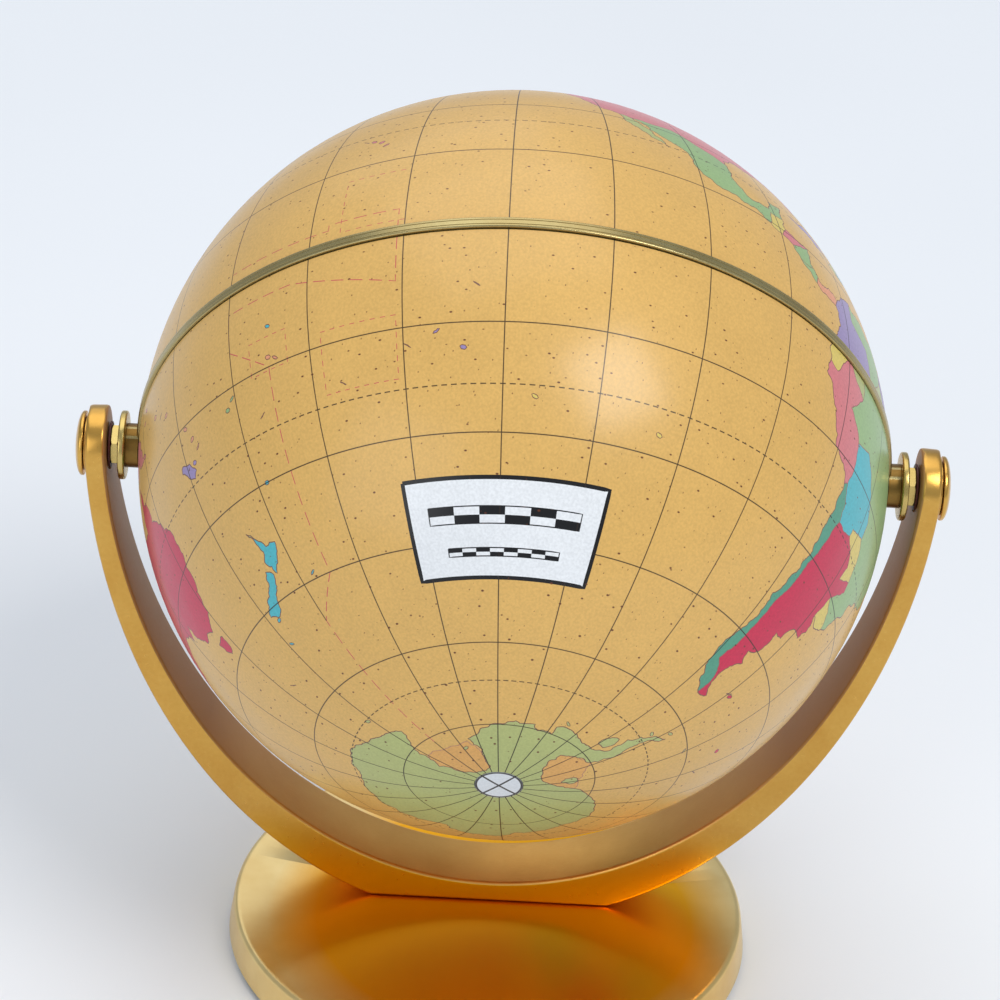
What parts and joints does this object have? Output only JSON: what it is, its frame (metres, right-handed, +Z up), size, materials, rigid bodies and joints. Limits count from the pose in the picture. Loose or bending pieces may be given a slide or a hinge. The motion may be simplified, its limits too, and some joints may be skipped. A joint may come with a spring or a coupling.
{
  "type": "desktop globe on gimbal stand",
  "caption": "Small desktop globe whose ball spins on its poles inside an equator ring, and the ring swings in a U-shaped fork on a round weighted base.",
  "frame": {"origin": "on the surface that the base stands on, straight below the ball's centre and the swing axis", "axes": "+X along the swing axis through the fork's ends, +Y towards the back of the stand, +Z up"},
  "size_m": [0.1244, 0.106, 0.1311],
  "materials": {
    "base_metal": "satin polished gold-coloured plate",
    "brushed_gold": "brushed along the band, satin",
    "turned_gold": "turned and polished",
    "ring_metal": "satin, slightly greenish gold",
    "steel": "zinc plated",
    "iron": "as cast",
    "foam": "fine closed-cell foam, matte",
    "fibre": "dark red-brown vulcanised fibre",
    "nylon": "natural nylon",
    "printed_ball": "printed antique map under satin varnish",
    "white_cap": "white with a dark cross"
  },
  "bodies": {
    "stand": {"base_shell": "base_metal", "base_weight": "iron", "base_pad": "foam", "fork": "brushed_gold", "fork_screw_L": "steel", "fork_screw_R": "steel", "pivot_screw_L": "turned_gold", "pivot_screw_R": "turned_gold", "head_washer_L": "turned_gold", "head_washer_R": "turned_gold", "fork_washer_L": "fibre", "fork_washer_R": "fibre", "lock_nut_L": "turned_gold", "lock_nut_R": "turned_gold"},
    "gimbal": {"equator_ring": "ring_metal", "pivot_bush_L": "turned_gold", "pivot_bush_R": "turned_gold", "hub_bush": "nylon"},
    "ball": {"north_hemisphere": "printed_ball", "south_hemisphere": "printed_ball", "polar_spindle": "steel", "hub_washer_N": "nylon", "hub_washer_S": "nylon", "spindle_clip_N": "steel", "spindle_clip_S": "steel", "pole_screw_N": "steel", "pole_screw_S": "steel", "pole_cap_N": "white_cap", "pole_cap_S": "white_cap"}
  },
  "joints": [
    {"name": "globe_swing", "type": "hinge", "parent": "stand", "child": "gimbal", "pos_m": [0, 0, 0.078], "axis": [1, 0, 0], "continuous": true},
    {"name": "globe_spin", "type": "hinge", "parent": "gimbal", "child": "ball", "pos_m": [0, 0, 0.078], "axis": [0, 0.9063, 0.4226], "continuous": true}
  ]
}
